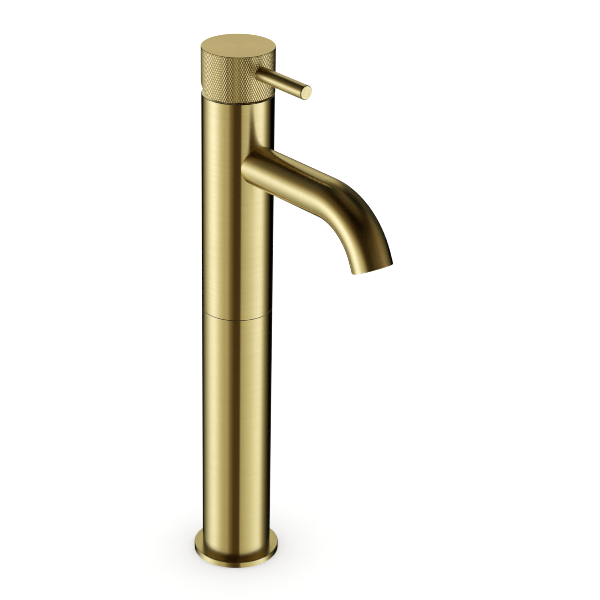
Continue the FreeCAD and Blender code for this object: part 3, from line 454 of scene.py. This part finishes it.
# ---------------------------------------------------------------- knob
KNURL_STARTS = 94
KNURL_HALF_ROWS = 19
KNURL_DEPTH = 0.18 * MM
KNURL_FLAT = 0.26
KNOB_EDGE = 0.3 * MM
KNOB_WALL = 19.8 * MM
KNOB_CAVITY_TOP = 346.6 * MM
BOSS_RADIUS = 11.5 * MM
BOSS_BOTTOM = 333.0 * MM
RELIEF_ANGLE = math.radians(25)
RELIEF_START = -2 * MM
RELIEF_UNDER = 3 * MM
CUTTER_REACH = 1.5
LEVER_SHOULDER = 21.2 * MM
LEVER_TAIL = 3.0 * MM
FIT_GAP = 0.05 * MM
MERGE_DISTANCE = 0.02 * MM
SHARP_ANGLE = math.radians(25)
# Depths below the knurl's points, as shares of its depth, between which the painted shade in the
# valleys fades.
FULL_SHADE_DEPTH = 0.93
NO_SHADE_DEPTH = 0.5
HOLE_SIDES = 64


def knurl_shade_mask(graph, position):
    """1 on the tips of the knurl and 0 in its valleys, where painted shade darkens the brass."""
    radial = around_axis(graph, position)[0]
    full_shade_radius = KNOB_HIGH.x - FULL_SHADE_DEPTH * KNURL_DEPTH
    bright = KNOB_HIGH.x - NO_SHADE_DEPTH * KNURL_DEPTH
    return graph.remap(radial, full_shade_radius, bright, 0.0, 1.0)


def polar(radius, angle, height):
    return (radius * math.cos(angle), radius * math.sin(angle), height)


def knurled_body():
    """The knob as one closed mesh: a diamond-knurled wall, a flat top and the hollow inside."""
    mesh = bmesh.new()
    radius = KNOB_HIGH.x
    valley = radius - KNURL_DEPTH
    bottom, top = KNOB_LOW.z, KNOB_HIGH.z
    first = bottom + KNOB_EDGE
    row_height = (top - KNOB_EDGE - first) / KNURL_HALF_ROWS
    step = math.pi / KNURL_STARTS
    around = 2 * KNURL_STARTS

    def ring(ring_radius, height):
        return [mesh.verts.new(polar(ring_radius, k * step, height)) for k in range(around)]

    corners = {}
    for row in range(KNURL_HALF_ROWS + 1):
        for k in range(around):
            if (k + row) % 2:
                corners[k, row] = mesh.verts.new(polar(valley, k * step, first + row * row_height))

    def corner(k, row):
        return corners[k % around, row]

    lower_ring = ring(valley - FIT_GAP, bottom)
    upper_ring = ring(valley - FIT_GAP, top)
    for row in range(KNURL_HALF_ROWS + 1):
        for k in range(row % 2, around, 2):
            height = first + row * row_height
            left = mesh.verts.new(polar(radius, (k - KNURL_FLAT) * step, height))
            right = mesh.verts.new(polar(radius, (k + KNURL_FLAT) * step, height))
            flat = [left, right]
            if row < KNURL_HALF_ROWS:
                above = mesh.verts.new(polar(radius, k * step, height + KNURL_FLAT * row_height))
                flat.insert(2, above)
                mesh.faces.new((corner(k + 1, row), corner(k, row + 1), above, right))
                mesh.faces.new((corner(k, row + 1), corner(k - 1, row), left, above))
            if row > 0:
                below = mesh.verts.new(polar(radius, k * step, height - KNURL_FLAT * row_height))
                flat.insert(1, below)
                mesh.faces.new((corner(k - 1, row), corner(k, row - 1), below, left))
                mesh.faces.new((corner(k, row - 1), corner(k + 1, row), right, below))
            mesh.faces.new(flat)
            for border, edge in ((0, lower_ring), (KNURL_HALF_ROWS, upper_ring)):
                if row == border:
                    before, here, after = (edge[(k + i) % around] for i in (-1, 0, 1))
                    mesh.faces.new((before, here, left, corner(k - 1, row)))
                    mesh.faces.new((here, right, left))
                    mesh.faces.new((here, after, corner(k + 1, row), right))

    bore = BUSH_HIGH.x + FIT_GAP
    inside = [lower_ring]
    for ring_radius, height in (
        (KNOB_WALL, bottom), (KNOB_WALL, KNOB_CAVITY_TOP), (BOSS_RADIUS, KNOB_CAVITY_TOP),
        (BOSS_RADIUS, BOSS_BOTTOM), (bore, BOSS_BOTTOM), (bore, BUSH_HIGH.z),
    ):
        inside.append(ring(ring_radius, height))
    plain_faces = []
    for one, two in zip(inside, inside[1:]):
        for k in range(around):
            after = (k + 1) % around
            plain_faces.append(mesh.faces.new((one[k], one[after], two[after], two[k])))
    for edge in (inside[-1], upper_ring):
        plain_faces.append(mesh.faces.new(edge))
    for face in plain_faces:
        face.material_index = 1
    bmesh.ops.recalc_face_normals(mesh, faces=mesh.faces)
    return mesh


def mesh_object(name, mesh):
    data = bpy.data.meshes.new(name)
    mesh.to_mesh(data)
    mesh.free()
    made = bpy.data.objects.new(name, data)
    bpy.context.scene.collection.objects.link(made)
    return made


def relief_cutter():
    """The wedge that slants the rear of the knob's underside, so that the knob can tip back."""
    mesh = bmesh.new()
    half = CUTTER_REACH * KNOB_HIGH.x
    start, end = RELIEF_START, half
    slope = math.tan(RELIEF_ANGLE)
    under = KNOB_LOW.z - RELIEF_UNDER
    upper = [(y, KNOB_LOW.z + y * slope) for y in (start, end)]
    outline = (*upper, (end, under), (start, under))
    sides = [[mesh.verts.new((x, y, z)) for y, z in outline] for x in (-half, half)]
    for side in sides:
        mesh.faces.new(side)
    for i in range(len(outline)):
        j = (i + 1) % len(outline)
        mesh.faces.new((sides[0][i], sides[0][j], sides[1][j], sides[1][i]))
    bmesh.ops.recalc_face_normals(mesh, faces=mesh.faces)
    return mesh_object("relief_cutter", mesh)


def hole_cutter(radius, start, end):
    """A round cutter along Y at the lever's height."""
    mesh = bmesh.new()
    middle = Matrix.Translation((0, (start + end) / 2, LEVER_HEIGHT))
    bmesh.ops.create_cone(
        mesh, cap_ends=True, segments=HOLE_SIDES, radius1=radius, radius2=radius,
        depth=abs(end - start), matrix=middle @ Matrix.Rotation(math.pi / 2, 4, "X"),
    )
    return mesh_object("hole_cutter", mesh)


def clean_cuts(data):
    """Merges the close points that the cuts leave and splits their many-sided faces."""
    mesh = bmesh.new()
    mesh.from_mesh(data)
    bmesh.ops.remove_doubles(mesh, verts=mesh.verts, dist=MERGE_DISTANCE)
    bmesh.ops.dissolve_degenerate(mesh, edges=mesh.edges, dist=MERGE_DISTANCE)
    many_sided = [face for face in mesh.faces if len(face.verts) > 4]
    bmesh.ops.triangulate(mesh, faces=many_sided, quad_method="BEAUTY", ngon_method="BEAUTY")
    mesh.to_mesh(data)
    mesh.free()


def cut_away(piece, cutters):
    """Cuts every cutter out of the piece and leaves a plain mesh."""
    for cutter in cutters:
        cut = piece.modifiers.new("cut", "BOOLEAN")
        cut.operation = "DIFFERENCE"
        cut.solver = "EXACT"
        cut.object = cutter
    bpy.context.view_layer.update()
    evaluated = piece.evaluated_get(bpy.context.evaluated_depsgraph_get())
    data = bpy.data.meshes.new_from_object(evaluated)
    clean_cuts(data)
    piece.modifiers.clear()
    piece.data = data
    for cutter in cutters:
        bpy.data.objects.remove(cutter)


def make_knob(knurled, turned_face):
    knob = mesh_object("knurled_knob", knurled_body())
    for material in (knurled, turned_face):
        knob.data.materials.append(material)
    outside = KNOB_HIGH.x + 1 * MM
    cut_away(
        knob,
        [
            relief_cutter(),
            hole_cutter(LEVER_RADIUS + FIT_GAP, -LEVER_SHOULDER, -outside),
            hole_cutter(LEVER_TAIL + FIT_GAP, -BUSH_HIGH.x / 2, -outside),
            hole_cutter(SCREW_HIGH.x + FIT_GAP, BUSH_HIGH.x / 2, outside),
        ],
    )
    for face in knob.data.polygons:
        face.use_smooth = True
    knob.data.set_sharp_from_angle(angle=SHARP_ANGLE)
    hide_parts("knob")
    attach(knob, "handle")


# ---------------------------------------------------------------- finishes of the carried-over pieces
# Material slot: name, two tones, metallic, roughness, grain.
PLAIN_FINISHES = {
    "raw_brass": (
        "machined_brass", ((0.70, 0.50, 0.20, 1), (0.80, 0.62, 0.30, 1)), 1.0, 0.32, 0.4 * MM,
    ),
    "fine_steel": (
        "fine_steel", ((0.52, 0.52, 0.53, 1), (0.66, 0.66, 0.67, 1)), 1.0, 0.3, 0.2 * MM,
    ),
    "seal_rubber": (
        "seal_rubber", ((0.012, 0.012, 0.013, 1), (0.03, 0.03, 0.031, 1)), 0.0, 0.55, 0.2 * MM,
    ),
    "cartridge_plastic": (
        "cartridge_plastic", ((0.70, 0.70, 0.68, 1), (0.80, 0.80, 0.78, 1)), 0.0, 0.4, 0.3 * MM,
    ),
    "ceramic": (
        "ceramic", ((0.86, 0.85, 0.82, 1), (0.93, 0.92, 0.90, 1)), 0.0, 0.15, 0.1 * MM,
    ),
}


def dress(nodes, material):
    for node in nodes:
        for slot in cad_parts[node].material_slots:
            slot.material = material


ABOUT_Z = turned((0, 0, 1))


def dress_frame():
    """Gives every carried-over piece its finish."""
    about_lever = turned((0, 1, 0), (0, 0, LEVER_HEIGHT))
    column_brass = brushed_brass("column_brass", ABOUT_Z, roughness=0.185, edges=column_edges)
    dress(["base_flange", "lower_column", "upper_column"], column_brass)
    dress(["lever_rod"], brushed_brass("lever_brass", about_lever, edges=lever_edges))
    spout_brass = brushed_brass(
        "spout_brass", along_spout, roughness=0.22, anisotropy=0.6, edges=spout_edges,
    )
    dress(["spout_tube"], spout_brass)
    by_slot = {slot: plain_finish(*finish) for slot, finish in PLAIN_FINISHES.items()}
    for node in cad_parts.values():
        for slot in node.material_slots:
            if slot.material.name in by_slot:
                slot.material = by_slot[slot.material.name]


add_camera()
light_studio()
add_floor()
dress_frame()
# The knurled facets carry painted shade in their valleys.
KNURLED = brushed_brass(
    "knurled_brass_facets", ABOUT_Z, TIP_TONES, roughness=0.24, anisotropy=0.0, valley_shade=knurl_shade_mask,
)
TURNED_FACE = brushed_brass(
    "knob_face_brass", ABOUT_Z, FACE_TONES, roughness=0.22, anisotropy=0.5, edges=face_edges,
)
make_knob(KNURLED, TURNED_FACE)
